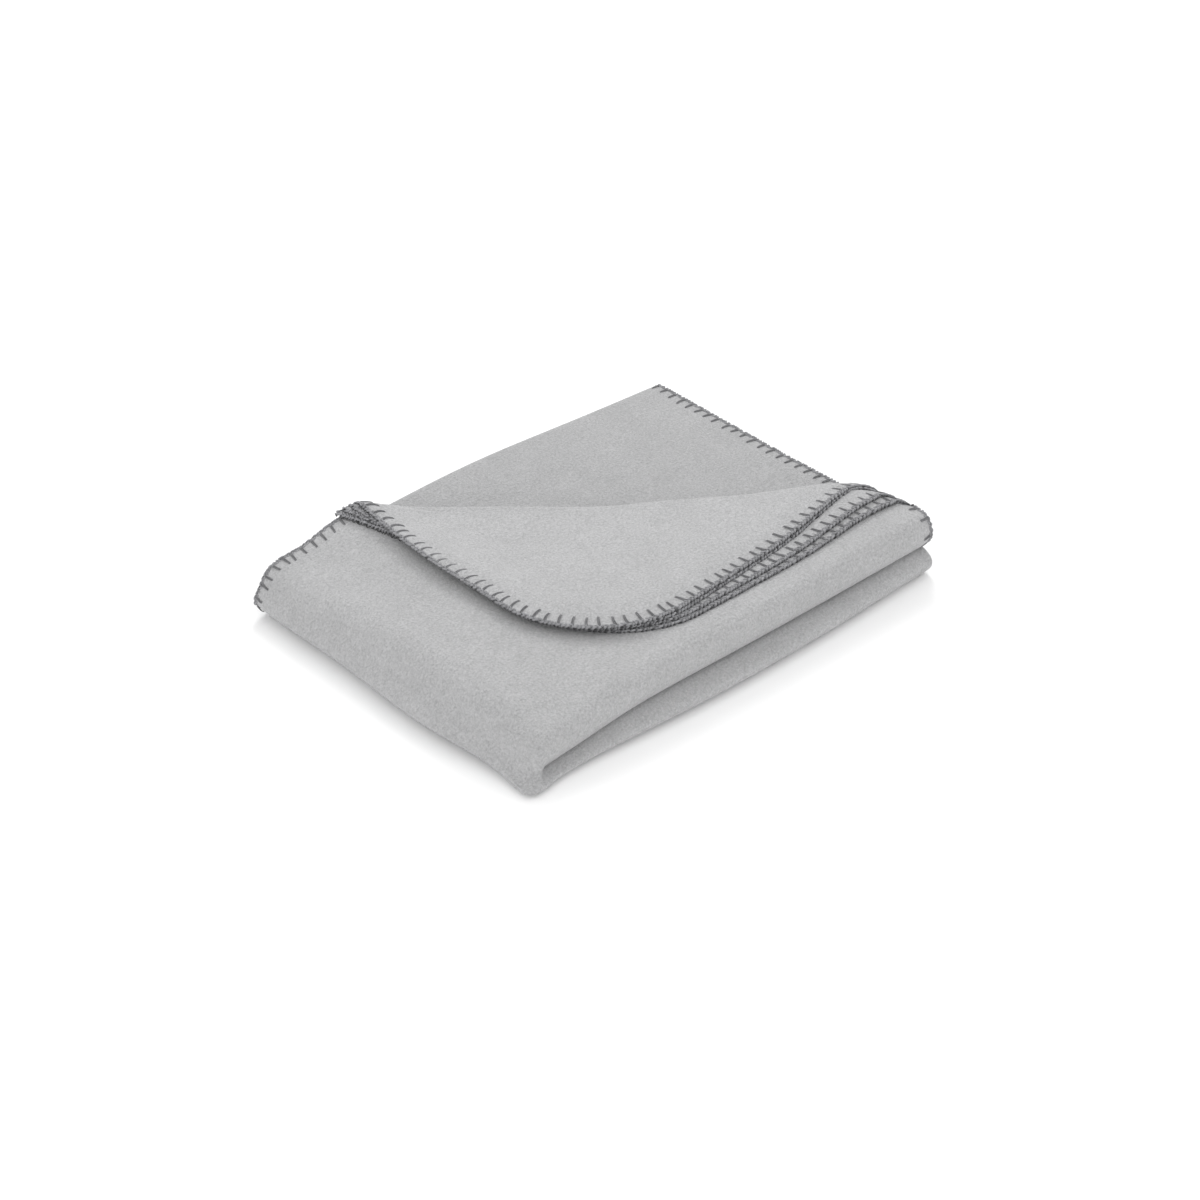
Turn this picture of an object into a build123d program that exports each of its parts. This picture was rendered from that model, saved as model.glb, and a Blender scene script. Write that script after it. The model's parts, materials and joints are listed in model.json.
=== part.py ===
"""A fleece throw with a yarn-stitched edge, folded four times into sixteen layers.

The sheet is folded in half along its length, in half across its width, rolled closed
along the near side, and last of all closed like a book along the left side. The four
corners of the sheet then lie on top of each other at the far right of the stack, and
that corner is turned forward over a slanting crest.

Frame: +X along the long side, away from the last fold, +Y from the rolled side to the
open side, +Z up. The origin is at the middle of the footprint, on the surface below.
Every number is in millimetres or degrees.
"""

import os
from math import cos, radians, sin, tan

from build123d import *

# Driving dimensions ---------------------------------------------------------------
pack_length = 425.0        # a quarter of the 1700 mm sheet
pack_width = 317.0         # a quarter of the 1270 mm sheet
cloth_pitch = 3.2          # the thickness that one lofty layer takes up in the stack
layers_per_fold = 4        # nested layers in each half
body_gap = 0.3             # clearance between pieces that move apart
edging_radius = 1.4        # the yarn braid along every cut edge
crest_start = 84.0         # from the last fold to the crest, measured on the open side
crest_angle = 41.0         # between the crest and the long side
flap_side = 87.0           # from the last fold to the left edge of the turned corner
flap_corner_width = 20.0   # from the rolled side to the turned corner, before rounding
flap_corner_radius = 90.0  # every corner of the sheet is rounded like this
flap_leg_angles = (1.5, 4.0, 8.0, 10.5)  # the four layers fan out along the right edge

# Places worked out from them -------------------------------------------------------
left = -pack_length / 2
right = pack_length / 2
near = -pack_width / 2
far = pack_width / 2
roll_radius = cloth_pitch * layers_per_fold
half_height = 2 * roll_radius
roll_y = near + roll_radius
side_fold_radius = 2 * cloth_pitch
side_fold_y = far - side_fold_radius
end_fold_radius = cloth_pitch - 0.1
edging_width = 2 * edging_radius
lower_centre = roll_radius
upper_bottom = half_height + body_gap
upper_centre = upper_bottom + roll_radius
upper_top = upper_bottom + half_height
fold_x = left + half_height
fold_z = half_height + body_gap / 2
fold_axis = Axis((fold_x, 0, fold_z), (0, -1, 0))
crest_z = upper_top + body_gap / 2
open_leg = far - edging_width - roll_y
shut_leg = side_fold_y - roll_y
lower_end = right - end_fold_radius
upper_end = right - edging_width
crest_slope = tan(radians(crest_angle))
crest_direction = Vector(cos(radians(crest_angle)), -sin(radians(crest_angle)), 0)
crest_back = Vector(sin(radians(crest_angle)), cos(radians(crest_angle)), 0)
crest_left = Vector(left + crest_start, far, crest_z)
crest_end_y = far - (pack_length - crest_start) * crest_slope

os.makedirs("parts", exist_ok=True)


def save(builder, name):
    """Label a finished piece and write its STEP file."""
    builder.part.label = name
    export_step(builder.part, f"parts/{name}.step")


def layer_radius(layer):
    """The outer radius of a layer where it rolls over the near side."""
    return cloth_pitch * (layers_per_fold + 1 - layer)


def draw_folded_layer(centre_z, layer, top_leg, bottom_leg):
    """Draw one layer that runs in, rolls over the near side and runs out again."""
    outer = layer_radius(layer)
    inner = outer - cloth_pitch
    with Locations((roll_y, centre_z)):
        Circle(outer)
        if inner > 0:
            Circle(inner, mode=Mode.SUBTRACT)
        Rectangle(outer, 2 * outer, align=(Align.MIN, Align.CENTER), mode=Mode.SUBTRACT)
    with Locations((roll_y, centre_z + inner)):
        Rectangle(top_leg, cloth_pitch, align=(Align.MIN, Align.MIN))
    with Locations((roll_y, centre_z - outer)):
        Rectangle(bottom_leg, cloth_pitch, align=(Align.MIN, Align.MIN))


def draw_side_fold(centre_z, outer):
    """Draw the closed fold that joins two layers on the far side."""
    with Locations((side_fold_y, centre_z)):
        Circle(outer)
        if outer > cloth_pitch:
            Circle(outer - cloth_pitch, mode=Mode.SUBTRACT)
        Rectangle(outer, 2 * outer, align=(Align.MAX, Align.CENTER), mode=Mode.SUBTRACT)


def draw_roll_path(centre_z, radius, top_end, bottom_end):
    """Draw the line that a layer's end edge follows around the near roll."""
    lower_run = Line((bottom_end, centre_z - radius), (roll_y, centre_z - radius))
    bend = ThreePointArc(
        lower_run @ 1, (roll_y - radius, centre_z), (roll_y, centre_z + radius)
    )
    Line(bend @ 1, (top_end, centre_z + radius))


def crest_y(x):
    """The crest's place across the pack at a place along it."""
    return far - (x - left - crest_start) * crest_slope


def flap_points(layer, outward):
    """The crest end, corner and other crest end of one turned layer's outline."""
    angle = radians(flap_leg_angles[layer - 1])
    leg = Vector(cos(angle), sin(angle), 0)
    side_x = left + flap_side
    corner = Vector(side_x, near + flap_corner_width, 0)
    clearance = body_gap / cos(radians(crest_angle))
    top = Vector(side_x, crest_y(side_x) - clearance, 0)
    reach = (crest_y(corner.X) - clearance - corner.Y) / (leg.Y + leg.X * crest_slope)
    side_shift = Vector(-outward, 0, 0)
    leg_shift = Vector(leg.Y, -leg.X, 0) * outward
    corner_shift = (leg + Vector(0, 1, 0)) * (-outward / cos(angle))
    return top + side_shift, corner + corner_shift, corner + leg * reach + leg_shift


def raised(points, height):
    """The same outline at another height."""
    return [(point.X, point.Y, height) for point in points]


# The two halves, each of four nested layers -----------------------------------------
for layer in range(1, layers_per_fold + 1):
    with BuildPart() as lower_fold:
        with BuildSketch(Plane.YZ.offset(fold_x)):
            draw_folded_layer(lower_centre, layer, shut_leg, open_leg)
        extrude(amount=lower_end - fold_x)
    save(lower_fold, f"lower_fold_{layer}")

    with BuildPart() as upper_fold:
        with BuildSketch(Plane.YZ.offset(fold_x)):
            draw_folded_layer(upper_centre, layer, open_leg, shut_leg)
        extrude(amount=upper_end - fold_x)
        with BuildSketch(Plane(crest_left - crest_back * body_gap, crest_direction, (0, 0, 1))):
            Rectangle(3 * pack_length, pack_length, align=(Align.CENTER, Align.MIN))
        extrude(amount=-roll_radius - body_gap / 2, mode=Mode.SUBTRACT)
    save(upper_fold, f"upper_fold_{layer}")

    # The last fold: the same layer turning over the left side of the pack.
    with BuildPart() as nose_fold:
        with BuildSketch(Plane.YZ.offset(fold_x)):
            draw_folded_layer(upper_centre, layer, open_leg, shut_leg)
        revolve(axis=fold_axis, revolution_arc=180)
    save(nose_fold, f"nose_fold_{layer}")

# The closed folds at the far side and at the right end --------------------------------
lower_side_z = lower_centre + roll_radius - side_fold_radius
upper_side_z = upper_centre - roll_radius + side_fold_radius
for name, outer in (("outer", side_fold_radius), ("inner", cloth_pitch)):
    with BuildPart() as lower_side_fold:
        with BuildSketch(Plane.YZ.offset(fold_x)):
            draw_side_fold(lower_side_z, outer)
        extrude(amount=lower_end - fold_x)
    save(lower_side_fold, f"lower_side_fold_{name}")

    with BuildPart() as upper_side_fold:
        with BuildSketch(Plane.YZ.offset(fold_x)):
            draw_side_fold(upper_side_z, outer)
        extrude(amount=upper_end - fold_x)
    save(upper_side_fold, f"upper_side_fold_{name}")

    with BuildPart() as nose_side_fold:
        with BuildSketch(Plane.YZ.offset(fold_x)):
            draw_side_fold(upper_side_z, outer)
        revolve(axis=fold_axis, revolution_arc=180)
    save(nose_side_fold, f"nose_side_fold_{name}")

for name, path_radius in (("outer", roll_radius - cloth_pitch), ("inner", cloth_pitch)):
    with BuildPart() as lower_end_fold:
        with BuildLine(Plane.YZ.offset(lower_end)):
            draw_roll_path(lower_centre, path_radius, side_fold_y, far - edging_width)
        with BuildSketch(Plane((lower_end, far - edging_width, lower_centre - path_radius),
                               (1, 0, 0), (0, -1, 0))):
            Circle(end_fold_radius)
            Rectangle(end_fold_radius, 2 * end_fold_radius,
                      align=(Align.MAX, Align.CENTER), mode=Mode.SUBTRACT)
        sweep()
    save(lower_end_fold, f"lower_end_fold_{name}")

# The yarn braid along the cut edges of both halves ------------------------------------
for layer in range(1, layers_per_fold + 1):
    yarn_radius = layer_radius(layer) - cloth_pitch / 2

    with BuildPart() as lower_side_edging:
        with BuildSketch(Plane.YZ.offset(fold_x)):
            with Locations((far - edging_radius, lower_centre - yarn_radius)):
                Circle(edging_radius)
        extrude(amount=lower_end - fold_x)
    save(lower_side_edging, f"lower_side_edging_{layer}")

    with BuildPart() as upper_side_edging:
        with BuildSketch(Plane.YZ.offset(fold_x)):
            with Locations((far - edging_radius, upper_centre + yarn_radius)):
                Circle(edging_radius)
        extrude(amount=crest_left.X - edging_width - fold_x)
    save(upper_side_edging, f"upper_side_edging_{layer}")

    with BuildPart() as nose_edging:
        with BuildSketch(Plane.YZ.offset(fold_x)):
            with Locations((far - edging_radius, upper_centre + yarn_radius)):
                Circle(edging_radius)
        revolve(axis=fold_axis, revolution_arc=180)
    save(nose_edging, f"nose_edging_{layer}")

    with BuildPart() as upper_end_edging:
        with BuildLine(Plane.YZ.offset(right - edging_radius)):
            draw_roll_path(upper_centre, yarn_radius, crest_end_y - edging_width, side_fold_y)
        with BuildSketch(Plane((right - edging_radius, side_fold_y, upper_centre - yarn_radius),
                               (1, 0, 0), (0, -1, 0))):
            Circle(edging_radius)
        sweep()
    save(upper_end_edging, f"upper_end_edging_{layer}")

# The turned corner ----------------------------------------------------------------------
for layer in range(1, layers_per_fold + 1):
    bottom = upper_top + body_gap + cloth_pitch * (layer - 1)
    inner = body_gap / 2 + cloth_pitch * (layer - 1)
    outline = raised(flap_points(layer, 0), bottom)
    yarn_line = raised(flap_points(layer, edging_radius), bottom + cloth_pitch / 2)
    roll_start = Vector(outline[0]) + crest_direction * (roll_radius / crest_slope)
    roll_length = (Vector(outline[2]) - roll_start).length

    with BuildPart() as flap_layer:
        with BuildSketch(Plane.XY.offset(bottom)):
            with BuildLine():
                FilletPolyline([point[:2] for point in outline], radius=flap_corner_radius)
                Line(outline[2][:2], outline[0][:2])
            make_face()
        extrude(amount=cloth_pitch)
    save(flap_layer, f"flap_layer_{layer}")

    with BuildPart() as flap_edging:
        with BuildLine():
            FilletPolyline(yarn_line, radius=flap_corner_radius + edging_radius)
        with BuildSketch(Plane(yarn_line[0], (1, 0, 0), (0, -1, 0))):
            Circle(edging_radius)
        sweep()
    save(flap_edging, f"flap_edging_{layer}")

    # The layer's turn over the crest, from the pack's top into the turned corner.
    with BuildPart() as crest_roll:
        with BuildSketch(Plane((roll_start.X, crest_y(roll_start.X), crest_z),
                               crest_back, crest_direction)):
            Circle(inner + cloth_pitch)
            Circle(inner, mode=Mode.SUBTRACT)
            Rectangle(2 * roll_radius, 4 * roll_radius,
                      align=(Align.MAX, Align.CENTER), mode=Mode.SUBTRACT)
        extrude(amount=roll_length)
    save(crest_roll, f"crest_roll_{layer}")
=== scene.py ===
"""A folded fleece throw with a yarn-stitched edge: cloth and yarn around the CAD frame.

Everything is in metres, in the CAD frame: +X along the long side, away from the last
fold, +Y from the rolled side to the open side, +Z up. Cloth and yarn are first laid out
flat and square on the CAD's layers, and relax() then gives the whole stack its slack.
"""
import json
from math import cos, pi, radians, sin

import bpy
import numpy as np
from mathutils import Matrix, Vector

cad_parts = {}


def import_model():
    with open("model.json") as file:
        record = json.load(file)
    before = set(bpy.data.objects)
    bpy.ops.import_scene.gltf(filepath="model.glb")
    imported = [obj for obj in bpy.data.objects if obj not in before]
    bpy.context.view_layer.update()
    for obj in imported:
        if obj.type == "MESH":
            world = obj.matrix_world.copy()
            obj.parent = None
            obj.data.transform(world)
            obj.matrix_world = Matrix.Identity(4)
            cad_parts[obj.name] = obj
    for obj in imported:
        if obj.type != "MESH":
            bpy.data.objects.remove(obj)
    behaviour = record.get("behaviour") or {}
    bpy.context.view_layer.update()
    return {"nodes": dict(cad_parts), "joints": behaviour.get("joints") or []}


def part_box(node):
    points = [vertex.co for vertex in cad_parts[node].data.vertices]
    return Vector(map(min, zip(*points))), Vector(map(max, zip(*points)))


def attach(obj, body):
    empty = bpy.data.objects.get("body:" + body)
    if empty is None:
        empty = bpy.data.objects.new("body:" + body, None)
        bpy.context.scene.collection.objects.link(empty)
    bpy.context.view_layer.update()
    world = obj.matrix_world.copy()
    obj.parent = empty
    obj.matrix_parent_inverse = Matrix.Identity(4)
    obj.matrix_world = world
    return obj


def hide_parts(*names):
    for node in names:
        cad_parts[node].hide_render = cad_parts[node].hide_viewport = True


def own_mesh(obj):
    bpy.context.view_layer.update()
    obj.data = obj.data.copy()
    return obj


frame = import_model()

# ---------------------------------------------------------------- places in the frame
joints = {joint["name"]: joint for joint in frame["joints"]}
outer_low, outer_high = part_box("lower_fold_1")
next_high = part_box("lower_fold_2")[1]
upper_low, upper_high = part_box("upper_fold_1")

LAYERS = 4
PITCH = outer_high[2] - next_high[2]
CLOTH = 0.9 * PITCH
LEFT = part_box("nose_fold_1")[0][0]
NEAR = outer_low[1]
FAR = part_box("lower_side_edging_1")[1][1]
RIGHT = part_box("upper_end_edging_1")[1][0]
FOLD_X = outer_low[0]
FOLD_Z = joints["last_fold"]["pos_m"][2]
ROLL = (outer_high[2] - outer_low[2]) / 2
ROLL_Y = NEAR + ROLL
LOWER_MID = (outer_low[2] + outer_high[2]) / 2
UPPER_MID = (upper_low[2] + upper_high[2]) / 2
SIDE_FOLD_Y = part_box("lower_side_fold_outer")[1][1] - 2 * PITCH
LOWER_END = outer_high[0]
CREST = np.array(joints["corner_flap"]["pos_m"])
ALONG = -np.array(joints["corner_flap"]["axis"])
ALONG /= np.linalg.norm(ALONG)
BACK = np.array((-ALONG[1], ALONG[0], 0.0))
UP = np.array((0.0, 0.0, 1.0))

# ------------------------------------------------------------------------ cloth and yarn
# Each stretch of the sheet: its body, the start of the names of the CAD nodes that it stands
# for, and its share of the 1.70 by 1.27 m sheet, as a flat size and an area in square metres.
# The areas are the CAD's, with the crest's split between its two sides, apart from the
# lower bend's, which has more cloth because its foot is pulled out.
STRETCHES = {
    "lower_half": ("lower_half", "lower_", (1.27, 0.80), 1.00),
    "lower_bend": ("lower_half", "nose_", (1.27, 0.048), 0.058),
    "upper_bend": ("upper_half", "nose_", (1.27, 0.042), 0.051),
    "upper_half": ("upper_half", "upper_", (1.27, 0.80), 0.795),
    "crest_under": ("upper_half", "crest_", (0.43, 0.041), 0.0165),
    "crest_over": ("turned_corner", "crest_", (0.40, 0.041), 0.0142),
    "turned_corner": ("turned_corner", "flap_", (0.66, 0.44), 0.169),
}
RIM = 0.0015              # from the CAD's outline to the cloth's cut edge
PINCH = 0.55              # how thick the cloth is at a stitched edge, as a share
PINCH_REACH = 0.008       # how far in from the edge it is thinner

FLEECE_COLOUR = (0.40, 0.40, 0.405, 1)
YARN_COLOUR = (0.155, 0.155, 0.161, 1)
PAINTED_BACK_SHADE = 0.90       # painted shade: part of the inner side gets a darker colour, where less light falls on it
FLAP_PAINTED_LIGHT = 1.03         # painted light: the turned corner's colour is made a little lighter, where more light falls on it

# The turned corner. Its layers are listed from the lowest to the top one.
FLAP_CORNERS = ((0.108, 0.029), (0.106, 0.030), (0.089, 0.028), (0.083, 0.030))
FLAP_ANGLES = (0.3, 1.7, 5.2, 4.9)            # of the right edge, in degrees
FLAP_RECESS = (0.003, 0.003, 0.004, -0.003)   # of the left edge, halfway down it
CORNER_RADIUS = 0.090
FLAP_START = 0.081        # where the lowest layer's left edge leaves the crest
FLAP_SHIFT = 0.005        # each layer above starts this much further along it
FLAP_DROOP = 0.35         # how far the layers close up along the flap's edge, as a share
DROOP_REACH = 0.020       # how far in from the edge they do so
DROOP_DEPTH = 0.09        # and how far in front of the crest they do so fully
RIM_SHARE = 0.7           # of a point's way to the flap's edge, to allow for its slant
LEAST_REACH = 0.0005      # the flap's least length in front of the crest
CREST_PRESS = 0.8         # how flat the crest is pressed, at most
PRESS_PLACE = 0.38        # where along the crest that is, as a share of its length
PRESS_REACH = 0.42        # and how far it spreads

# The stitches, each of two strands of yarn, and how unevenly they are sewn.
STITCH_PITCH = 0.0106
STITCH_LENGTH = 0.0095
YARN = 0.00050            # the yarn's radius
STRAND_SPREAD = 1.15      # from a stitch's middle to each strand, in radii of the yarn
TAPER = 0.4               # how much the strands close up and thin towards the inner end
PLACE_SPREAD = 0.0006
LEAN_SPREAD = 0.08
HOOK_SPREAD = 0.06
LENGTH_SPREAD = 0.07

# The three thicker strands plaited along the rim.
STRAND = 0.00090          # a strand's radius
PLAIT = 0.0110            # the length of one turn
PLAIT_WIDTH = 0.0016
PLAIT_HEIGHT = 0.0010
PLAIT_STEP = 0.0008       # between the points along a strand
PLAIT_OUT = 0.0007        # from the rim out to the plait's middle
PLAIT_WANDER = 0.0003     # how far it strays from that
PLAIT_DRIFT = 0.35        # how unevenly it turns
PLAIT_PAINTED_SHADE = 0.25        # painted shade: how light a strand's colour is where it dips under the others
PLAIT_PAINTED_LIGHT = 1.6         # painted light: how much lighter its colour is where it lies on top

dice = np.random.default_rng(7)


def smooth(value):
    """A smooth step from 0 to 1 as the value goes from 0 to 1."""
    value = np.clip(value, 0.0, 1.0)
    return value * value * (3 - 2 * value)


def bell(value):
    """A smooth bump, 1 at 0 and nearly gone at 2."""
    return np.exp(-value * value)


# How the slack cloth lies. Each swell moves the stack around one place by (x, y, z), fully
# from the second height up and not at all below the first (or the other way round).
# Places are measured from the near corner, along the long side and across it.
SWELLS = [
    # centre, reach, move and heights
    ((0.270, 0.000), (0.150, 0.060), (0.000, -0.0100, 0.000), (0.028, 0.017)),     # lower roll
    ((0.130, 0.000), (0.110, 0.060), (0.000, -0.006, 0.000), (0.028, 0.014)),      # and nearer
    ((0.000, 0.000), (0.075, 0.045), (0.000, 0.000, -0.015), (0.000, 0.030)),      # near corner
    ((0.030, 0.000), (0.022, 0.030), (-0.011, 0.000, 0.000), (-0.02, -0.01)),      # its crease
    ((0.000, 0.000), (0.036, 0.050), (-0.001, -0.005, 0.0), (0.022, 0.004)),       # its foot
    ((0.003, 0.003), (0.022, 0.022), (-0.009, -0.008, 0.0), (0.018, 0.006)),       # its point
    ((0.000, 0.105), (0.024, 0.095), (-0.016, 0.000, 0.000), (0.030, 0.010)),      # by its foot
    ((0.210, 0.000), (0.240, 0.065), (0.000, 0.000, -0.0065), (0.004, 0.022)),     # both rolls
    ((0.210, 0.000), (0.240, 0.065), (0.000, 0.000, 0.0065), (0.028, 0.050)),      # upper one back
    ((0.000, 0.160), (0.012, 0.200), (-0.005, 0.000, 0.000), (0.028, 0.010)),      # fold's foot
    ((0.000, 0.290), (0.020, 0.110), (-0.011, -0.002, 0.000), (0.034, 0.010)),     # left foot
    ((0.028, 0.317), (0.045, 0.120), (0.000, 0.000, -0.012), (0.008, 0.050)),      # left corner
    ((0.085, 0.317), (0.080, 0.080), (0.000, 0.000, 0.0030), (0.020, 0.040)),      # crest, left
    ((0.130, 0.285), (0.050, 0.060), (0.000, 0.000, -0.009), (0.042, 0.062)),      # flap by it
    ((0.200, 0.330), (0.110, 0.090), (0.000, 0.000, 0.008), (0.020, 0.036)),       # far edge
    ((0.090, 0.230), (0.035, 0.085), (0.000, 0.000, 0.005), (0.0517, 0.0545)),     # flap's edge
    ((0.385, 0.065), (0.055, 0.050), (0.004, 0.006, 0.008), (0.034, 0.055)),       # crest, right
    ((0.383, 0.060), (0.045, 0.045), (0.000, 0.000, -0.0045), (0.0540, 0.0660)),   # flap by it
    ((0.185, 0.220), (0.100, 0.090), (-0.005, -0.006, -0.0105), (0.0510, 0.0640)), # crest, middle
    ((0.330, 0.330), (0.200, 0.130), (0.000, 0.000, 0.007), (0.020, 0.036)),       # far corner
]


def relax(points):
    """Move points of the square, flat stack to where the slack cloth lies."""
    along, across, height = points[..., 0] - LEFT, points[..., 1] - NEAR, points[..., 2]
    moved = points.copy()
    for centre, reach, move, (start, full) in SWELLS:
        weight = bell(np.hypot((along - centre[0]) / reach[0], (across - centre[1]) / reach[1]))
        weight = weight * smooth((height - start) / (full - start))
        moved += weight[..., None] * np.array(move)
    moved[..., 2] = np.maximum(moved[..., 2], 0.0)
    return moved


# ------------------------------------------------------------------------- mesh building
class Pile:
    """Vertices and faces collected for one object."""

    def __init__(self):
        self.points, self.faces, self.naps, self.count = [], [], [], 0

    def add(self, points, faces, nap=1.0):
        self.points.append(points.reshape(-1, 3))
        self.naps.append(np.broadcast_to(nap, points.shape[:-1]).ravel())
        self.faces.append(np.asarray(faces).reshape(-1, 4) + self.count)
        self.count += len(self.points[-1])

    def build(self, name, material):
        points, faces = np.concatenate(self.points), np.concatenate(self.faces)
        mesh = bpy.data.meshes.new(name)
        mesh.vertices.add(len(points))
        mesh.vertices.foreach_set("co", points.ravel())
        mesh.loops.add(faces.size)
        mesh.loops.foreach_set("vertex_index", faces.ravel().astype(np.int32))
        mesh.polygons.add(len(faces))
        mesh.polygons.foreach_set("loop_start", np.arange(0, faces.size, 4, dtype=np.int32))
        mesh.polygons.foreach_set("use_smooth", np.ones(len(faces), dtype=bool))
        mesh.update(calc_edges=True)
        mesh.validate()
        # painted light and shade: a factor on each point's colour
        mesh.attributes.new("nap", "FLOAT", "POINT").data.foreach_set(
            "value", np.concatenate(self.naps).astype(np.float32))
        mesh.materials.append(material)
        piece = bpy.data.objects.new(name, mesh)
        bpy.context.scene.collection.objects.link(piece)
        return piece


def grid_faces(rows, columns, wrap=False):
    """Quads of a grid of points, closed across the columns where wrap is set."""
    index = np.arange(rows * columns).reshape(rows, columns)
    if wrap:
        index = np.concatenate((index, index[:, :1]), axis=1)
    return np.stack((index[:-1, :-1], index[1:, :-1], index[1:, 1:], index[:-1, 1:]), axis=-1)


def unit(vectors):
    """The same directions, one long."""
    return vectors / np.maximum(np.linalg.norm(vectors, axis=-1, keepdims=True), 1e-12)


def tangents(grid, axis):
    """The direction along one axis of a grid of points, even where its steps are uneven."""
    steps = unit(np.diff(np.swapaxes(grid, 0, axis), axis=0))
    between = unit(steps[:-1] + steps[1:])
    return np.swapaxes(np.concatenate((steps[:1], between, steps[-1:])), 0, axis)


def lay(grid):
    """A relaxed grid of mid-surface points, its two directions and its normal."""
    grid = relax(grid)
    down, across = tangents(grid, 0), tangents(grid, 1)
    return grid, down, across, unit(np.cross(down, across))


def pinch(distance):
    """How thick the cloth is at a distance from a stitched edge, as a share."""
    return PINCH + (1 - PINCH) * smooth(distance / PINCH_REACH)


def add_cloth(pile, laid, rows, cut_edges, share, nap):
    """Thicken some rows of a laid grid, and close its sides, rounded where it is cut.

    Share is how thick each point is, and nap the painted light and shade on its colour.
    """
    middle, down, across, normal = (part[rows] for part in laid)
    share, nap = (np.broadcast_to(value, laid[0].shape[:2])[rows] for value in (share, nap))
    half = share[..., None] * CLOTH / 2
    faces = grid_faces(*middle.shape[:2])
    pile.add(middle + normal * half, faces, nap)
    pile.add(middle - normal * half, faces[..., ::-1], nap)
    sides = {
        "first": (np.s_[0], -down, False),
        "last": (np.s_[-1], down, True),
        "start": (np.s_[:, 0], -across, True),
        "end": (np.s_[:, -1], across, False),
    }
    for side, (line, outward, flip) in sides.items():
        bulge = 1.0 if side in cut_edges else 0.0
        angles = np.linspace(0, pi, 5 if bulge else 2)
        rim = np.stack([
            middle[line] + half[line] * (cos(a) * normal[line] + bulge * sin(a) * outward[line])
            for a in angles])
        faces = grid_faces(*rim.shape[:2])
        pile.add(rim, faces[..., ::-1] if flip else faces, nap[line])


def add_tubes(pile, paths, side, radius, nap=1.0, sides=6):
    """Add a tube along each of many equal-length paths (tubes, points, 3).

    Radius and nap, the painted light and shade on the yarn's colour, are for all of it or for each
    point along it.
    """
    paths = relax(paths)
    along = unit(np.gradient(paths, axis=1))
    side = unit(side - along * np.sum(side * along, axis=-1, keepdims=True))
    over = np.cross(along, side)
    angles = np.arange(sides) * 2 * pi / sides
    ring = (np.cos(angles)[:, None] * side[..., None, :]
            + np.sin(angles)[:, None] * over[..., None, :])
    points = paths[..., None, :] + np.broadcast_to(radius, paths.shape[1])[:, None, None] * ring
    tubes, length = paths.shape[:2]
    faces = grid_faces(length, sides, wrap=True).reshape(-1, 4)
    offsets = np.arange(tubes) * length * sides
    nap = np.broadcast_to(np.broadcast_to(nap, length)[:, None], points.shape[:-1])
    pile.add(points, faces[None] + offsets[:, None, None], nap)


# ----------------------------------------------------------------- the folded cross-section
LEG = np.concatenate((np.array((0.0, 0.006, 0.016, 0.032, 0.052)), np.linspace(0.078, 1.0, 36)))
ARC = np.radians(np.concatenate(((0, 1, 4), np.linspace(10, 80, 9), (86, 89, 90))))
QUARTER = pi / 2
EDGE_Y = FAR - RIM


def crest_y(x):
    """The crest's place across the pack at a place along it."""
    return CREST[1] + (x - CREST[0]) * ALONG[1] / ALONG[0]


def pair_section(pair, y_open):
    """(y, height above the middle) along a pair of layers: in, around, out and back."""
    first = ROLL - PITCH * (pair + 0.5)
    second = ROLL - PITCH * (LAYERS - pair - 0.5)
    centre, radius = -(first + second) / 2, (first - second) / 2
    leg_in = y_open + (ROLL_Y - y_open) * LEG
    leg_out = ROLL_Y + (SIDE_FOLD_Y - ROLL_Y) * (1 - LEG[::-1])
    turn = np.radians(np.linspace(90, 270, 17))[1:-1]
    side = np.radians(np.linspace(-90, 90, 9))[1:-1]
    parts = [
        np.stack((leg_in, np.full_like(leg_in, first)), 1),
        np.stack((ROLL_Y + first * np.cos(turn), first * np.sin(turn)), 1),
        np.stack((leg_out, np.full_like(leg_out, -first)), 1),
        np.stack((SIDE_FOLD_Y + radius * np.cos(side), centre + radius * np.sin(side)), 1),
        np.stack((leg_out[::-1], np.full_like(leg_out, -second)), 1),
        np.stack((ROLL_Y + second * np.cos(turn[::-1]), second * np.sin(turn[::-1])), 1),
        np.stack((leg_in[::-1], np.full_like(leg_in, second)), 1),
    ]
    return np.concatenate(parts)


def upper_row(x, pair):
    """A row of the upper half, which ends at the crest where that comes first."""
    section = pair_section(pair, min(EDGE_Y, crest_y(x)))
    return np.stack((np.full(len(section), x), section[:, 0], UPPER_MID + section[:, 1]), 1)


def lower_row(x, pair):
    """A row of the lower half, which is the upper one upside down."""
    section = pair_section(pair, EDGE_Y)
    return np.stack((np.full(len(section), x), section[:, 0], LOWER_MID - section[:, 1]), 1)


def nose_row(angle, pair):
    """The section turned about the last fold's axis, from the upper half to the lower."""
    section = pair_section(pair, EDGE_Y)
    reach = UPPER_MID + section[:, 1] - FOLD_Z
    return np.stack((FOLD_X + reach * cos(angle), section[:, 0], FOLD_Z + reach * sin(angle)), 1)


def stations(start, end, step=0.0075):
    """Stations from start to end, closer together at both ends."""
    length = abs(end - start)
    values = np.linspace(0, length, int(round(length / step)) + 1)
    close = np.array((0.0005, 0.002, 0.0045))
    values = np.sort(np.concatenate((values, close, length - close)))
    return start + values * np.sign(end - start)


# ------------------------------------------------------------------------- the materials
def node(tree, kind, inputs=(), **settings):
    """A new shader node with its settings, its values and its links."""
    made = tree.nodes.new(kind)
    for key, value in settings.items():
        setattr(made, key, value)
    for key, value in dict(inputs).items():
        if isinstance(value, bpy.types.NodeSocket):
            tree.links.new(value, made.inputs[key])
        else:
            made.inputs[key].default_value = value
    return made


def noise(tree, place, scale, detail, roughness):
    """Noise of one scale, from 0 to 1."""
    return node(tree, "ShaderNodeTexNoise", {
        "Vector": place, "Scale": scale, "Detail": detail, "Roughness": roughness}).outputs["Fac"]


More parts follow.
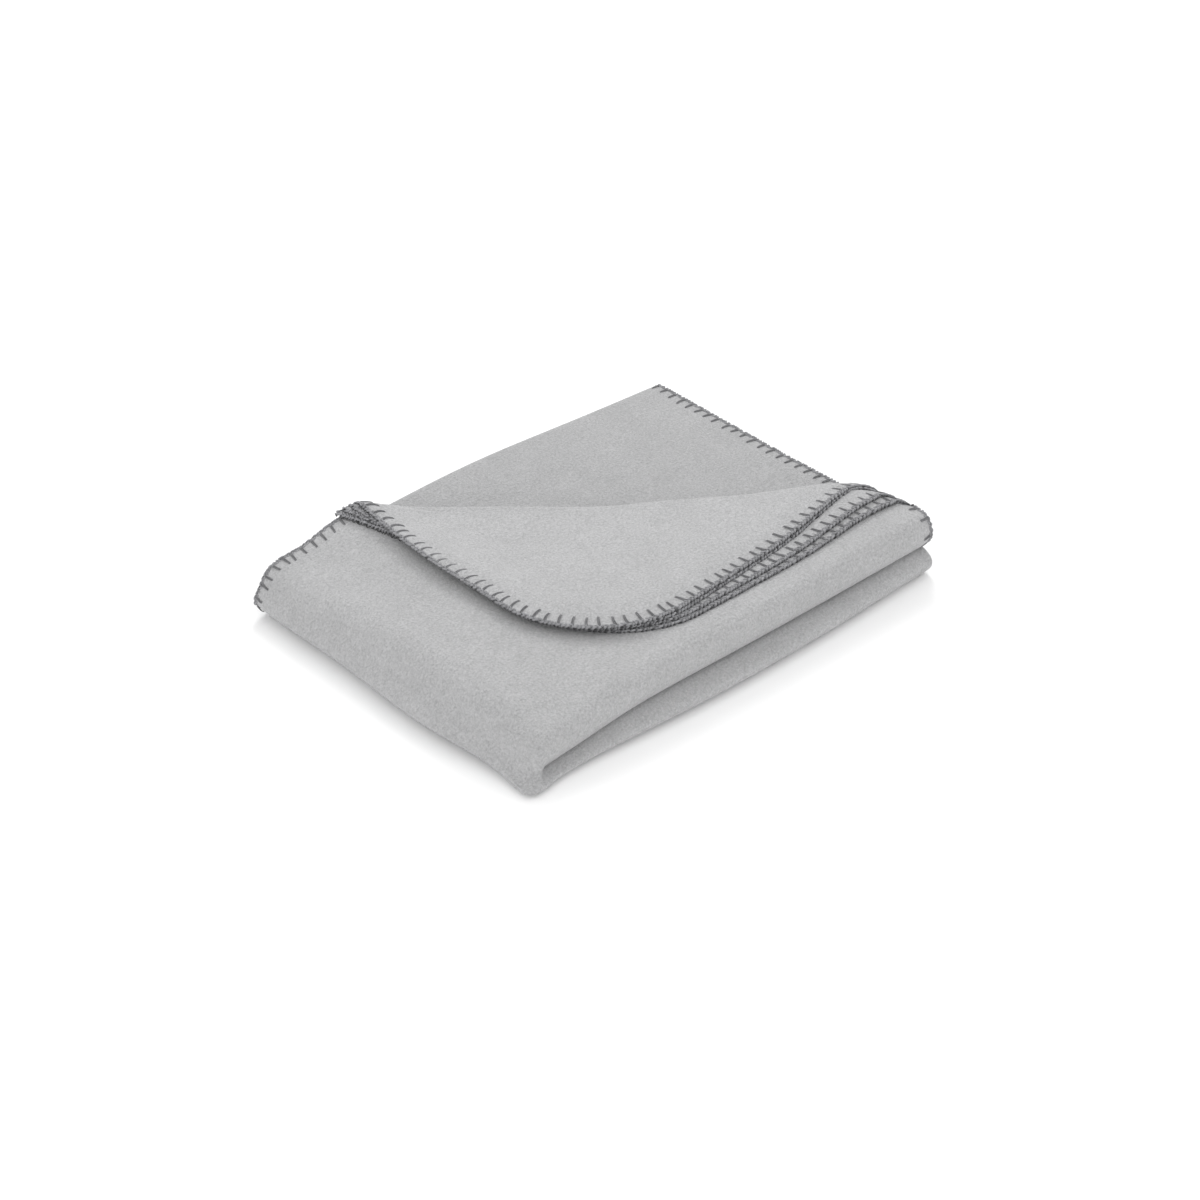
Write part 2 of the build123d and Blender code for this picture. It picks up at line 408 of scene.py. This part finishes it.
def math(tree, operation, a, b):
    """One sum or product of two values."""
    return node(tree, "ShaderNodeMath", {0: a, 1: b}, operation=operation).outputs[0]


def spread(tree, value, start, end):
    """A value's range stretched from one pair of limits to another."""
    return node(tree, "ShaderNodeMapRange", {
        "Value": value, "From Min": start[0], "From Max": start[1],
        "To Min": end[0], "To Max": end[1]}).outputs[0]


def bump(tree, height, strength, distance, **more):
    """Relief from a height, on top of another bump's normal where one is given."""
    return node(tree, "ShaderNodeBump", {
        "Height": height, "Strength": strength, "Distance": distance, **more}).outputs[0]


def fibre_material(name, roughness, specular, sheen, sheen_roughness):
    """A rough material with a light bloom: it, its tree, its shader and its coordinates."""
    material = bpy.data.materials.new(name)
    material.use_nodes = True
    tree = material.node_tree
    shader = tree.nodes["Principled BSDF"]
    shader.inputs["Roughness"].default_value = roughness
    shader.inputs["Specular IOR Level"].default_value = specular
    shader.inputs["Sheen Weight"].default_value = sheen
    shader.inputs["Sheen Roughness"].default_value = sheen_roughness
    return material, tree, shader, node(tree, "ShaderNodeTexCoord").outputs["Object"]


def paint(tree, shader, colour, shade, drift, normal):
    """Colour the shader, made lighter or darker by two values and by the painted light and shade
    that the mesh carries.
    """
    # painted light and shade, read from the mesh
    nap = node(tree, "ShaderNodeAttribute", attribute_name="nap").outputs["Fac"]
    bright = math(tree, "MULTIPLY", math(tree, "MULTIPLY", shade, drift), nap)
    mixed = node(tree, "ShaderNodeMix", {
        0: 1.0, 6: colour, 7: bright}, data_type="RGBA", blend_type="MULTIPLY")
    tree.links.new(mixed.outputs[2], shader.inputs["Base Color"])
    tree.links.new(normal, shader.inputs["Normal"])


def fleece_material():
    """Brushed fleece: a fine tufted pile, a soft mottle and a light bloom at grazing angles."""
    material, tree, shader, place = fibre_material("grey_fleece", 1.0, 0.1, 0.35, 0.6)
    tufts = noise(tree, place, 520, 3, 0.7)
    fibres = noise(tree, place, 1300, 3, 0.7)
    patches = noise(tree, place, 38, 3, 0.55)
    grain = math(tree, "ADD", math(tree, "MULTIPLY", tufts, 0.62),
                 math(tree, "MULTIPLY", fibres, 0.38))
    coarse = bump(tree, tufts, 0.7, 0.0016)
    paint(tree, shader, FLEECE_COLOUR, spread(tree, grain, (0.36, 0.64), (0.74, 1.24)),
          spread(tree, patches, (0.35, 0.65), (0.97, 1.03)),
          bump(tree, fibres, 0.6, 0.0008, Normal=coarse))
    return material


def yarn_material():
    """Soft grey yarn: fine fibres and a slight change of tone along it."""
    material, tree, shader, place = fibre_material("dark_yarn", 0.95, 0.15, 0.25, 0.5)
    fibres = noise(tree, place, 2600, 3, 0.7)
    tone = noise(tree, place, 160, 2, 0.5)
    paint(tree, shader, YARN_COLOUR, spread(tree, fibres, (0.32, 0.68), (0.6, 1.4)),
          spread(tree, tone, (0.35, 0.65), (0.88, 1.12)), bump(tree, fibres, 0.5, 0.0004))
    return material


fleece, yarn = fleece_material(), yarn_material()

# ------------------------------------------------------------------------ the flap layers
def flap_outline(layer):
    """The turned corner's outline of one layer: left edge, rounded tip, right edge."""
    corner = np.array((LEFT, NEAR)) + FLAP_CORNERS[layer - 1]
    angle = radians(FLAP_ANGLES[layer - 1])
    leg = np.array((cos(angle), sin(angle)))
    top_x, start_x = (LEFT + FLAP_START + FLAP_SHIFT * (k - 1) for k in (LAYERS, layer))
    start, own_start = (np.array((x, crest_y(x))) for x in (top_x, start_x))
    up = unit(start - corner)
    opening = np.arccos(np.dot(up, leg))
    reach = CORNER_RADIUS / np.tan(opening / 2)
    centre = corner + unit(up + leg) * CORNER_RADIUS / np.sin(opening / 2)
    slope = ALONG[1] / ALONG[0]
    run = (crest_y(corner[0]) - corner[1]) / (leg[1] - leg[0] * slope)
    end = corner + leg * run
    first = corner + up * reach
    last = corner + leg * reach
    arc_start, arc_end = (np.arctan2(*(point - centre)[::-1]) for point in (first, last))
    arc = arc_start + np.linspace(0, (arc_end - arc_start) % (2 * pi), 40)
    bend = centre + CORNER_RADIUS * np.stack((np.cos(arc), np.sin(arc)), 1)
    u = np.linspace(0, 1, 60)[:-1, None]
    left_edge = start + (first - start) * u + (own_start - start) * (1 - u) ** 4
    left_edge += FLAP_RECESS[layer - 1] * np.array((up[1], -up[0])) * np.sin(pi * u) ** 2
    right_edge = last + (end - last) * np.linspace(0, 1, 60)[1:, None]
    return np.concatenate((left_edge, bend, right_edge))


def flap_droop(front):
    """How far the layers close up at an edge this far in front of the crest."""
    return FLAP_DROOP * smooth(front / DROOP_DEPTH)


FLAP_STEPS = 72
REACHES = np.concatenate(((0, 0.002, 0.01), np.linspace(0.03, 0.90, 30),
                          (0.93, 0.955, 0.975, 0.99, 1.0)))


def flap_grid(layer):
    """One layer over the crest, its thickness, and the rows where its parts meet.

    The rows are the lower quarter of the roll, its upper quarter, and the flap.
    """
    outline = flap_outline(layer)
    flat = outline - CREST[:2]
    along = flat @ ALONG[:2]
    front = np.maximum(-(flat @ BACK[:2]), LEAST_REACH)
    radius = PITCH * (layer - 0.5)
    share = np.linspace(0, 1, FLAP_STEPS)
    share = (share + smooth(share)) / 2
    base = np.array((RIM / -ALONG[1], (RIGHT - RIM - CREST[0]) / ALONG[0]))
    s = along[0] + (along[-1] - along[0]) * share
    reach = np.interp(s, along, front)
    inset = RIM_SHARE * reach * (1 - REACHES[:, None])
    close = 1 - flap_droop(reach) * (1 - smooth(inset / DROOP_REACH))
    ends = np.minimum(share, 1 - share) * (along[-1] - along[0])
    bulge = 1 - CREST_PRESS * bell((share - PRESS_PLACE) / PRESS_REACH)
    rows, thick = [], []
    for angle in np.concatenate((ARC - QUARTER, ARC[1:])):
        blend = (angle + QUARTER) / pi
        start, end = base + (along[[0, -1]] - base) * blend
        place = start + (end - start) * share
        height = radius * sin(angle) * (close[0] if angle > 0 else np.ones(FLAP_STEPS))
        rows.append(CREST + place[:, None] * ALONG
                    + np.outer(radius * cos(angle) * bulge, BACK) + np.outer(height, UP))
        thick.append(pinch(ends))
    for part, closed, distance in zip(REACHES[1:], close[1:], inset[1:]):
        rows.append(CREST + s[:, None] * ALONG - BACK * (part * reach)[:, None]
                    + np.outer(radius * closed, UP))
        thick.append(pinch(distance))
    return np.stack(rows), np.stack(thick), (len(ARC) - 1, 2 * len(ARC) - 2)


# ------------------------------------------------------------------------------ the cloth
def section_facts(pair):
    """How far each point of a section is from its cut ends, and its painted shade: darker on part
    of the inner side.
    """
    section = pair_section(pair, EDGE_Y)
    run = np.concatenate(((0,), np.cumsum(np.linalg.norm(np.diff(section, axis=0), axis=1))))
    # painted shade: the lowest pair's inner side, past the section's middle, gets a darker colour
    inner = (section[:, 1] < 0) & (pair == 0) & (run > run[-1] / 2)
    return np.minimum(run, run[-1] - run), np.where(inner, PAINTED_BACK_SHADE, 1.0)


def build_cloth():
    """The sheet, laid out whole and cut into its stretches where it crosses a joint."""
    piles = {name: Pile() for name in STRETCHES}
    upper_x, lower_x = stations(RIGHT - RIM, FOLD_X), stations(FOLD_X, LOWER_END)
    bend = np.concatenate((QUARTER + ARC, 2 * QUARTER + ARC[1:]))
    halves = []
    for pair in (0, 1):
        rows = [upper_row(x, pair) for x in upper_x] + [nose_row(a, pair) for a in bend[1:]]
        halves.append(rows + [lower_row(x, pair) for x in lower_x[1:]])
    centre, offset = (halves[0][-1] + halves[1][-1]) / 2, (halves[0][-1] - halves[1][-1]) / 2
    turn = [centre + offset * sin(a) + np.array((PITCH / 2 * cos(a), 0, 0))
            for a in np.radians(np.linspace(90, -90, 9))[1:-1]]
    grid = np.stack(halves[0] + turn + halves[1][::-1])
    laid = lay(grid)
    half, count = len(halves[0]), len(grid)
    to_end = RIGHT - RIM - grid[:, 0, 0]
    row = np.arange(count)
    pair_of_row = (row >= count / 2).astype(int)
    from_rim, nap = (np.stack(values)[pair_of_row]
                     for values in zip(*(section_facts(pair) for pair in (0, 1))))
    in_upper = (row < len(upper_x)) | (row >= count - len(upper_x))
    share = pinch(np.minimum(from_rim, np.where(in_upper, to_end, 1)[:, None]))
    marks = np.cumsum((len(upper_x) - 1, len(ARC) - 1, len(ARC) - 1))
    marks = np.concatenate(((0,), marks))
    cuts = np.concatenate((marks, count - 1 - marks[::-1]))
    order = ("upper_half", "upper_bend", "lower_bend", "lower_half",
             "lower_bend", "upper_bend", "upper_half")
    open_ends = {0: ("first",), len(order) - 1: ("last",)}
    for k, name in enumerate(order):
        cut_edges = open_ends.get(k, ()) + ("start", "end")
        add_cloth(piles[name], laid, np.s_[cuts[k]:cuts[k + 1] + 1], cut_edges, share, nap)
    for layer in range(1, LAYERS + 1):
        grid, share, (rise, top) = flap_grid(layer)
        laid = lay(grid)
        add_cloth(piles["crest_under"], laid, np.s_[:rise + 1], ("start", "end"), share, 1.0)
        add_cloth(piles["crest_over"], laid, np.s_[rise:top + 1], ("start", "end"), share, 1.0)
        # painted light: the turned corner's colour is made lighter
        add_cloth(piles["turned_corner"], laid, np.s_[top:], ("last", "start", "end"), share,
                  FLAP_PAINTED_LIGHT)
    return {name: pile.build(name + "_cloth", fleece) for name, pile in piles.items()}


cloth = build_cloth()

# ------------------------------------------------------------------------------- the yarn
def add_edging(pile, line, inward, normal, lean=(0.0,), hook=(0.0,), size=(1.0,), rise=0.0):
    """Stitches and a braid along a rim: its points, the way into the cloth, its normal.

    Stitches lean along the rim by lean and bend back by hook, as shares of their length,
    which is size times the usual, all given at even steps along the rim. Rise is how far the
    cloth lifts away from the rim over the droop's reach, for the whole rim or for each point.
    """
    line, inward, normal = (np.asarray(a, dtype=float) for a in (line, inward, normal))
    lengths = np.concatenate(((0,), np.cumsum(np.linalg.norm(np.diff(line, axis=0), axis=1))))
    total = lengths[-1]

    def at(where):
        """The rim's point and two directions at distances along it."""
        picked = [np.stack([np.interp(where, lengths, values[:, i]) for i in range(3)], -1)
                  for values in (line, inward, normal)]
        return picked[0], unit(picked[1]), unit(picked[2])

    lifts = np.broadcast_to(rise, len(line))
    count = max(1, int(round(total / STITCH_PITCH)))
    where = (np.arange(count) + 0.5) * total / count + dice.normal(0, PLACE_SPREAD, count)
    point, into, upright = at(where)
    sideways = unit(np.cross(upright, into))
    slope, bend, scale = (np.interp(where / total, np.linspace(0, 1, len(value)), value)
                          for value in (lean, hook, size))
    slope = slope + dice.normal(0, LEAN_SPREAD, count)
    bend = bend + dice.normal(0, HOOK_SPREAD, count)
    length = STITCH_LENGTH * scale * (1 + dice.normal(0, LENGTH_SPREAD, count))
    lift = np.interp(where, lengths, lifts)
    # A stitch from its inner end on one face, over the rim and back on the other: its place
    # along the stitch, its height off the cloth in radii of the yarn, and its face.
    ups = [(1.0, -0.4), (0.95, 0.7), (0.75, 1.0), (0.5, 1.0), (0.25, 1.0), (0.04, 0.9)]
    profile = [(inner, side, 1) for inner, side in ups] + [(-0.13, 0.0, 0)]
    profile += [(inner, side, -1) for inner, side in ups[::-1]]
    for strand in (-1, 1):
        gap = strand * YARN * STRAND_SPREAD
        path = []
        for inner, side, face in profile:
            depth = np.maximum(inner, 0) * length
            surface = CLOTH / 2 * pinch(depth)
            over = face * (surface + side * YARN) + lift * smooth(depth / DROOP_REACH)
            path.append(point + into * (inner * length)[:, None] + upright * over[:, None]
                        + sideways * (length * (slope * inner + bend * inner * inner)
                                      + gap * (1.2 - TAPER * inner))[:, None])
        thin = np.array([1.1 - TAPER * max(inner, 0) for inner, _, _ in profile])
        add_tubes(pile, np.stack(path, axis=1), sideways[:, None, :], YARN * thin)
    steps = max(12, int(total / PLAIT_STEP))
    where = np.linspace(0, total, steps)
    point, into, upright = at(where)
    wander = np.convolve(dice.normal(0, 1, steps + 8), np.ones(9) / 9, "valid")
    turn = (where / PLAIT + PLAIT_DRIFT * wander) * 2 * pi
    for phase in (0, 2 * pi / 3, 4 * pi / 3):
        aside, over = np.cos(turn + phase), np.sin(2 * (turn + phase))
        path = (point
                + into * (aside * PLAIT_WIDTH + wander * PLAIT_WANDER - PLAIT_OUT)[:, None]
                + upright * (over * PLAIT_HEIGHT)[:, None])
        # painted shade and light: each strand's colour is darker where it dips under the others
        # and lighter on top
        add_tubes(pile, path[None], upright[None], STRAND,
                  nap=PLAIT_PAINTED_SHADE + PLAIT_PAINTED_LIGHT * smooth((over + 1) / 2))


def straight(start, end, inward, normal, step=0.01):
    """A straight rim, with the same two directions all along it."""
    count = max(2, int(np.linalg.norm(np.subtract(end, start)) / step) + 1)
    line = np.linspace(start, end, count)
    return line, np.tile(inward, (count, 1)), np.tile(normal, (count, 1))


def build_yarn():
    """The edging of every cut edge, in the same stretches as the cloth."""
    piles = {name: Pile() for name in STRETCHES}
    into_y = (0, -1, 0)
    for layer in range(1, LAYERS + 1):
        height = ROLL - PITCH * (layer - 0.5)
        low, high = LOWER_MID - height, UPPER_MID + height
        lower_rim = straight((FOLD_X, EDGE_Y, low), (LOWER_END, EDGE_Y, low), into_y, UP)
        upper_rim = straight((FOLD_X, EDGE_Y, high), (CREST[0], EDGE_Y, high), into_y, UP)
        add_edging(piles["lower_half"], *lower_rim)
        add_edging(piles["upper_half"], *upper_rim, lean=(-0.3,), size=(1.15,))
        for name, start in (("upper_bend", QUARTER), ("lower_bend", 2 * QUARTER)):
            angle = start + ARC
            spoke = np.stack((np.cos(angle), np.zeros(len(ARC)), np.sin(angle)), 1)
            line = np.array((FOLD_X, EDGE_Y, FOLD_Z)) + (high - FOLD_Z) * spoke
            add_edging(piles[name], line, np.tile(into_y, (len(ARC), 1)), spoke)
        grid, _, (rise, top) = flap_grid(layer)
        for name, rows, start in (("crest_under", np.s_[:rise + 1], -QUARTER),
                                  ("crest_over", np.s_[rise:top + 1], 0)):
            radial = np.stack([BACK * cos(a) + UP * sin(a) for a in start + ARC])
            for side, sign in ((0, 1), (-1, -1)):
                into = np.tile(ALONG * sign, (len(ARC), 1))
                add_edging(piles[name], grid[rows, side], into, radial)
        outline = flap_outline(layer)
        radius = PITCH * (layer - 0.5)
        front = -((outline - CREST[:2]) @ BACK[:2])
        rim = np.column_stack((outline, CREST[2] + radius * (1 - flap_droop(front))))
        inward = np.cross(UP, unit(np.gradient(rim, axis=0)))
        add_edging(piles["turned_corner"], rim, inward, np.tile(UP, (len(rim), 1)),
                   lean=(0.55, 0.50, 0.20, 0.40, 0.50), hook=(-0.9, -0.8, -0.1, 0.0, 0.0),
                   size=(1.0, 1.0, 0.95, 0.75, 0.7), rise=radius * flap_droop(front))
    for pair in (0, 1):
        rim = upper_row(RIGHT - RIM, pair)
        tangent = unit(np.gradient(rim, axis=0))
        normal = np.cross(tangent, (1.0, 0.0, 0.0))
        add_edging(piles["upper_half"], rim, np.tile((-1, 0, 0), (len(rim), 1)), normal,
                   size=(0.8, 0.9, 1.0, 0.9, 0.8))
    return {name: pile.build(name + "_edging", yarn) for name, pile in piles.items()}


edging = build_yarn()

# --------------------------------------------------------------------- bodies and the CAD parts they hide
def record(piece, start, is_edging):
    """Hide the CAD nodes that a piece stands for: its edging nodes, or the others."""
    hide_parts(*[name for name in frame["nodes"]
                         if name.startswith(start) and ("edging" in name) == is_edging])


for name, (_, start, flat, area) in STRETCHES.items():
    record(cloth[name], start, False)
for name, (_, start, _, _) in STRETCHES.items():
    record(edging[name], start, True)
for name, (body, _, _, _) in STRETCHES.items():
    for piece in (cloth[name], edging[name]):
        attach(piece, body)
        if name.endswith("_bend"):
            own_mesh(piece)
        if name.startswith("crest_"):
            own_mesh(piece)

# ------------------------------------------------------------------------ floor and light
FLOOR_COLOUR = (0.95, 0.95, 0.95, 1)
WORLD_STRENGTH = 1.04
LIGHTS = (  # name, place, size, power
    ("key", (1.3, 1.4, 1.7), 0.9, 22),
    ("fill", (-1.6, -1.4, 1.1), 2.0, 9),
)
SENSOR, LENS = 36, 90             # millimetres
CAMERA_AZIMUTH = -42.9            # degrees round from -Y, and up from the floor
CAMERA_ELEVATION = 33.4
CAMERA_DISTANCE = 2.361
CAMERA_TARGET = (-0.007, -0.008, 0)


def build_stage():
    """A plain pale floor under even white light."""
    bpy.ops.mesh.primitive_plane_add(size=40)
    floor = bpy.context.object
    floor.name = "floor"
    material = bpy.data.materials.new("floor_white")
    material.use_nodes = True
    shader = material.node_tree.nodes["Principled BSDF"]
    shader.inputs["Base Color"].default_value = FLOOR_COLOUR
    shader.inputs["Roughness"].default_value = 1.0
    floor.data.materials.append(material)
    world = bpy.data.worlds.new("studio")
    bpy.context.scene.world = world
    world.use_nodes = True
    background = world.node_tree.nodes["Background"]
    background.inputs["Color"].default_value = (1, 1, 1, 1)
    background.inputs["Strength"].default_value = WORLD_STRENGTH


def area_light(name, place, size, power):
    """A square light that faces the origin."""
    data = bpy.data.lights.new(name, "AREA")
    data.size, data.energy = size, power
    light = bpy.data.objects.new(name, data)
    light.location = place
    light.rotation_euler = (-Vector(place)).to_track_quat("-Z", "Y").to_euler()
    bpy.context.scene.collection.objects.link(light)


def build_camera():
    """The camera, far off with a long lens."""
    data = bpy.data.cameras.new("camera")
    data.sensor_width, data.lens = SENSOR, LENS
    camera = bpy.data.objects.new("camera", data)
    azimuth, elevation = radians(CAMERA_AZIMUTH), radians(CAMERA_ELEVATION)
    away = Vector((sin(azimuth) * cos(elevation), -cos(azimuth) * cos(elevation), sin(elevation)))
    camera.location = Vector(CAMERA_TARGET) + away * CAMERA_DISTANCE
    camera.rotation_euler = (-away).to_track_quat("-Z", "Y").to_euler()
    bpy.context.scene.collection.objects.link(camera)
    bpy.context.scene.camera = camera


build_stage()
for light in LIGHTS:
    area_light(*light)
build_camera()
bpy.context.scene.view_settings.view_transform = "Standard"
